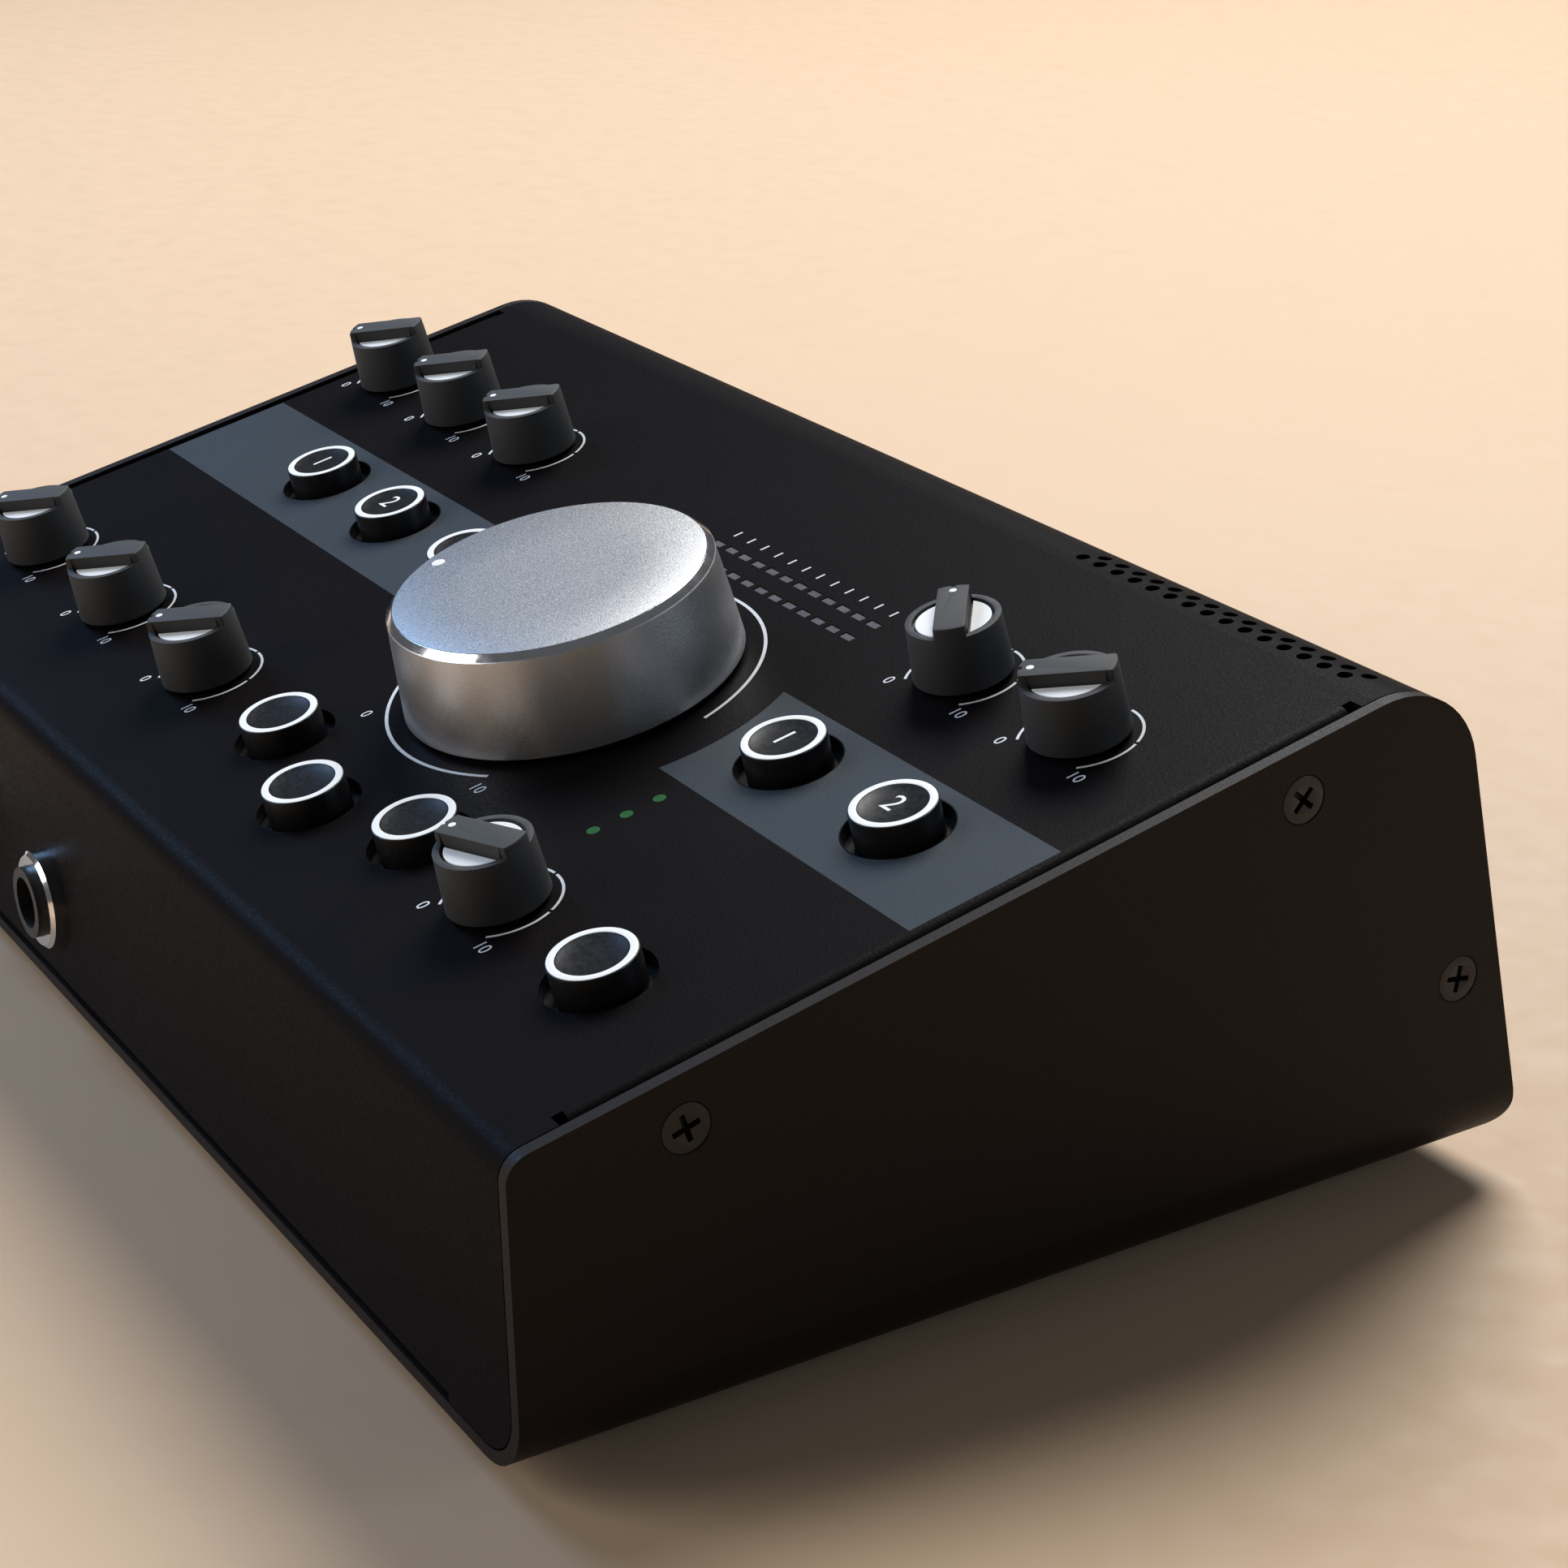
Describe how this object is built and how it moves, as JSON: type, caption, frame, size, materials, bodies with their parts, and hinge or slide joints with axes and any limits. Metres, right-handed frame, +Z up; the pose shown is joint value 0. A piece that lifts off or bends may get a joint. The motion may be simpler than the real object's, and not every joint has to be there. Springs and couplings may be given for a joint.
{
  "type": "studio monitor controller",
  "caption": "Desktop audio controller: folded steel wedge housing, large volume knob, small bar knobs, round push buttons, lamp meter, phone, line, input and power sockets.",
  "frame": {"origin": "on the table under the middle of the controller's bounding box", "axes": "+X to the user's right, +Y to the back, +Z up"},
  "size_m": [0.2, 0.1292, 0.0666],
  "materials": {
    "black_powder_coat": "fine textured black powder coat",
    "black_powder_coat_top": "fine textured black powder coat with printed rings and bands",
    "blackened_steel": "black finished screw",
    "rubber": "matt",
    "circuit_board": "solder resist",
    "steel": "plated",
    "plated_housing": "tin plated",
    "black_plastic": "moulded",
    "lamp": "green lens",
    "lamp_window": "diffusing lens",
    "bright_nut": "turned and polished",
    "blasted_aluminium": "bead blasted and anodised, polished bevel",
    "brass": "turned",
    "knob_plastic": "moulded, slightly glossy",
    "button_plastic": "moulded, satin",
    "socket_plastic": "moulded"
  },
  "bodies": {
    "housing": {"chassis_tray": "black_powder_coat", "top_cover": "black_powder_coat_top", "side_screws": "blackened_steel", "rubber_feet": "rubber", "control_board": "circuit_board", "connector_board": "circuit_board", "board_posts": "steel", "board_screws": "steel", "connector_posts": "steel", "pots": "plated_housing", "key_switches": "black_plastic", "status_lamps": "lamp", "meter_lamps": "lamp_window", "socket_nuts": "bright_nut", "push_switches": "black_plastic", "data_port": "plated_housing", "power_inlet": "black_plastic", "volume_pot": "plated_housing", "line_socket_1": "socket_plastic", "line_socket_2": "socket_plastic", "line_socket_3": "socket_plastic", "line_socket_4": "socket_plastic", "line_socket_5": "socket_plastic", "line_socket_6": "socket_plastic", "phones_socket_1": "socket_plastic", "input_socket_1": "socket_plastic", "phones_socket_2": "socket_plastic", "input_socket_2": "socket_plastic"},
    "volume_control": {"volume_knob": "blasted_aluminium", "volume_shaft": "brass"},
    "talkback_control": {"talkback_knob": "knob_plastic", "talkback_shaft": "brass"},
    "trim_a_control": {"trim_a_knob": "knob_plastic", "trim_a_shaft": "brass"},
    "trim_b_control": {"trim_b_knob": "knob_plastic", "trim_b_shaft": "brass"},
    "phones_mix_control": {"phones_mix_knob": "knob_plastic", "phones_mix_shaft": "brass"},
    "phones_1_control": {"phones_1_knob": "knob_plastic", "phones_1_shaft": "brass"},
    "phones_2_control": {"phones_2_knob": "knob_plastic", "phones_2_shaft": "brass"},
    "input_1_control": {"input_1_knob": "knob_plastic", "input_1_shaft": "brass"},
    "input_2_control": {"input_2_knob": "knob_plastic", "input_2_shaft": "brass"},
    "input_3_control": {"input_3_knob": "knob_plastic", "input_3_shaft": "brass"},
    "cue_key": {"cue_button": "button_plastic"},
    "dim_key": {"dim_button": "button_plastic"},
    "mute_key": {"mute_button": "button_plastic"},
    "mono_key": {"mono_button": "button_plastic"},
    "monitor_a_key": {"monitor_a_button": "button_plastic"},
    "monitor_b_key": {"monitor_b_button": "button_plastic"},
    "source_1_key": {"source_1_button": "button_plastic"},
    "source_2_key": {"source_2_button": "button_plastic"},
    "source_3_key": {"source_3_button": "button_plastic"},
    "power_push": {"power_button": "black_plastic"},
    "phantom_push": {"phantom_button": "black_plastic"}
  },
  "joints": [
    {"name": "volume_turn", "type": "hinge", "parent": "housing", "child": "volume_control", "pos_m": [0.0196, -0.01125, 0.04967], "axis": [0, -0.2164, 0.9763], "range_deg": [-259, 31]},
    {"name": "talkback_turn", "type": "hinge", "parent": "housing", "child": "talkback_control", "pos_m": [0.05785, -0.04064, 0.04315], "axis": [0, -0.2164, 0.9763], "range_deg": [-240, 25]},
    {"name": "trim_a_turn", "type": "hinge", "parent": "housing", "child": "trim_a_control", "pos_m": [0.05785, 0.01706, 0.05595], "axis": [0, -0.2164, 0.9763], "range_deg": [-182, 83]},
    {"name": "trim_b_turn", "type": "hinge", "parent": "housing", "child": "trim_b_control", "pos_m": [0.0793, 0.01706, 0.05595], "axis": [0, -0.2164, 0.9763], "range_deg": [-265, 0]},
    {"name": "phones_mix_turn", "type": "hinge", "parent": "housing", "child": "phones_mix_control", "pos_m": [-0.0785, -0.04064, 0.04315], "axis": [0, -0.2164, 0.9763], "range_deg": [-265, 0]},
    {"name": "phones_1_turn", "type": "hinge", "parent": "housing", "child": "phones_1_control", "pos_m": [-0.0499, -0.04064, 0.04315], "axis": [0, -0.2164, 0.9763], "range_deg": [-265, 0]},
    {"name": "phones_2_turn", "type": "hinge", "parent": "housing", "child": "phones_2_control", "pos_m": [-0.0213, -0.04064, 0.04315], "axis": [0, -0.2164, 0.9763], "range_deg": [-265, 0]},
    {"name": "input_1_turn", "type": "hinge", "parent": "housing", "child": "input_1_control", "pos_m": [-0.0877, 0.01706, 0.05595], "axis": [0, -0.2164, 0.9763], "range_deg": [-265, 0]},
    {"name": "input_2_turn", "type": "hinge", "parent": "housing", "child": "input_2_control", "pos_m": [-0.06625, 0.01706, 0.05595], "axis": [0, -0.2164, 0.9763], "range_deg": [-265, 0]},
    {"name": "input_3_turn", "type": "hinge", "parent": "housing", "child": "input_3_control", "pos_m": [-0.0448, 0.01706, 0.05595], "axis": [0, -0.2164, 0.9763], "range_deg": [-265, 0]},
    {"name": "cue_press", "type": "slide", "parent": "housing", "child": "cue_key", "axis": [0, 0.2164, -0.9763], "range_m": [0, 0.0012], "stiffness_N_per_m": 600, "springref_m": -0.0013},
    {"name": "dim_press", "type": "slide", "parent": "housing", "child": "dim_key", "axis": [0, 0.2164, -0.9763], "range_m": [0, 0.0012], "stiffness_N_per_m": 600, "springref_m": -0.0013},
    {"name": "mute_press", "type": "slide", "parent": "housing", "child": "mute_key", "axis": [0, 0.2164, -0.9763], "range_m": [0, 0.0012], "stiffness_N_per_m": 600, "springref_m": -0.0013},
    {"name": "mono_press", "type": "slide", "parent": "housing", "child": "mono_key", "axis": [0, 0.2164, -0.9763], "range_m": [0, 0.0012], "stiffness_N_per_m": 600, "springref_m": -0.0013},
    {"name": "monitor_a_press", "type": "slide", "parent": "housing", "child": "monitor_a_key", "axis": [0, 0.2164, -0.9763], "range_m": [0, 0.0012], "stiffness_N_per_m": 600, "springref_m": -0.0013},
    {"name": "monitor_b_press", "type": "slide", "parent": "housing", "child": "monitor_b_key", "axis": [0, 0.2164, -0.9763], "range_m": [0, 0.0012], "stiffness_N_per_m": 600, "springref_m": -0.0013},
    {"name": "source_1_press", "type": "slide", "parent": "housing", "child": "source_1_key", "axis": [0, 0.2164, -0.9763], "range_m": [0, 0.0012], "stiffness_N_per_m": 600, "springref_m": -0.0013},
    {"name": "source_2_press", "type": "slide", "parent": "housing", "child": "source_2_key", "axis": [0, 0.2164, -0.9763], "range_m": [0, 0.0012], "stiffness_N_per_m": 600, "springref_m": -0.0013},
    {"name": "source_3_press", "type": "slide", "parent": "housing", "child": "source_3_key", "axis": [0, 0.2164, -0.9763], "range_m": [0, 0.0012], "stiffness_N_per_m": 600, "springref_m": -0.0013},
    {"name": "power_switch_press", "type": "slide", "parent": "housing", "child": "power_push", "axis": [0, -0.9763, -0.2164], "range_m": [0, 0.002], "stiffness_N_per_m": 600, "springref_m": -0.002},
    {"name": "phantom_switch_press", "type": "slide", "parent": "housing", "child": "phantom_push", "axis": [0, -0.9763, -0.2164], "range_m": [0, 0.002], "stiffness_N_per_m": 600, "springref_m": -0.002}
  ]
}
